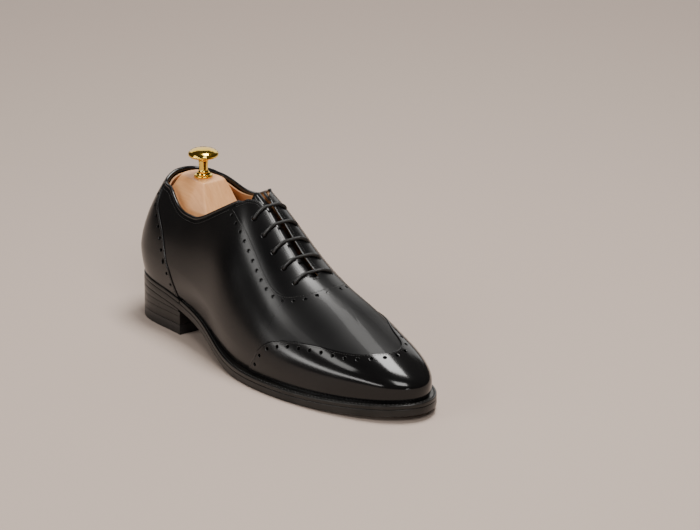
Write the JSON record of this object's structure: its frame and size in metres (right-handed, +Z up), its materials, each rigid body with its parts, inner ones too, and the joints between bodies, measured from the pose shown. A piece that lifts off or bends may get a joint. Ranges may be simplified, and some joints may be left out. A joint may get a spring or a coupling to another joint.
{
  "type": "leather oxford shoe",
  "caption": "Black leather oxford with a brogued wing toe, laced facings, stacked heel and welted sole, held in shape by a sprung wooden shoe tree.",
  "frame": {"origin": "centre of the bounding box's footprint, on the plane the heel and the ball of the sole rest on", "axes": "+X from heel to toe, +Y to the inner side of the foot, +Z up"},
  "size_m": [0.3078, 0.1016, 0.1342],
  "materials": {
    "black_calf": "polished",
    "sole_edge_black": "waxed satin",
    "heel_rubber": "matte",
    "tan_lining": "matte",
    "leather_board": "rough",
    "cork": "granular",
    "spring_steel": "bright",
    "polished_brass": "polished",
    "tree_beech": "smooth satin",
    "waxed_cotton": "waxed braid"
  },
  "bodies": {
    "shoe": {"aglet_back": "waxed_cotton", "aglet_front": "waxed_cotton", "collar_piping": "black_calf", "cork_filler": "cork", "facing": "black_calf", "heel_counter": "black_calf", "heel_lift_lower": "sole_edge_black", "heel_lift_upper": "sole_edge_black", "heel_rand": "sole_edge_black", "heel_seat_wedge": "sole_edge_black", "heel_stiffener": "leather_board", "heel_top_piece": "heel_rubber", "insole": "leather_board", "lace": "waxed_cotton", "outsole": "sole_edge_black", "quarter_lining": "tan_lining", "shank": "spring_steel", "sock_liner": "tan_lining", "toe_puff": "leather_board", "toe_wing": "black_calf", "tongue": "black_calf", "tongue_lining": "tan_lining", "tree_forepart_outer": "tree_beech", "tree_heel_spring": "spring_steel", "tree_pin_1": "spring_steel", "tree_pin_2": "spring_steel", "tree_toe_spring_1": "spring_steel", "tree_toe_spring_2": "spring_steel", "tree_tube": "spring_steel", "vamp_and_quarters": "black_calf", "vamp_lining": "tan_lining", "welt": "sole_edge_black"},
    "heel_unit": {"tree_heel_block": "tree_beech", "tree_knob": "polished_brass", "tree_rosette": "polished_brass", "tree_rod": "spring_steel"},
    "toe_half": {"tree_forepart_inner": "tree_beech"}
  },
  "joints": [
    {"name": "tree_heel_slide", "type": "slide", "parent": "shoe", "child": "heel_unit", "axis": [0.9848, 0, -0.1736], "range_m": [0, 0.018], "stiffness_N_per_m": 400, "springref_m": -0.02, "deforming": ["tree_heel_spring"]},
    {"name": "tree_toe_spread", "type": "slide", "parent": "shoe", "child": "toe_half", "axis": [0, 1, 0], "range_m": [-0.005, 0], "stiffness_N_per_m": 800, "springref_m": 0.006, "deforming": ["tree_toe_spring_1", "tree_toe_spring_2"]}
  ]
}
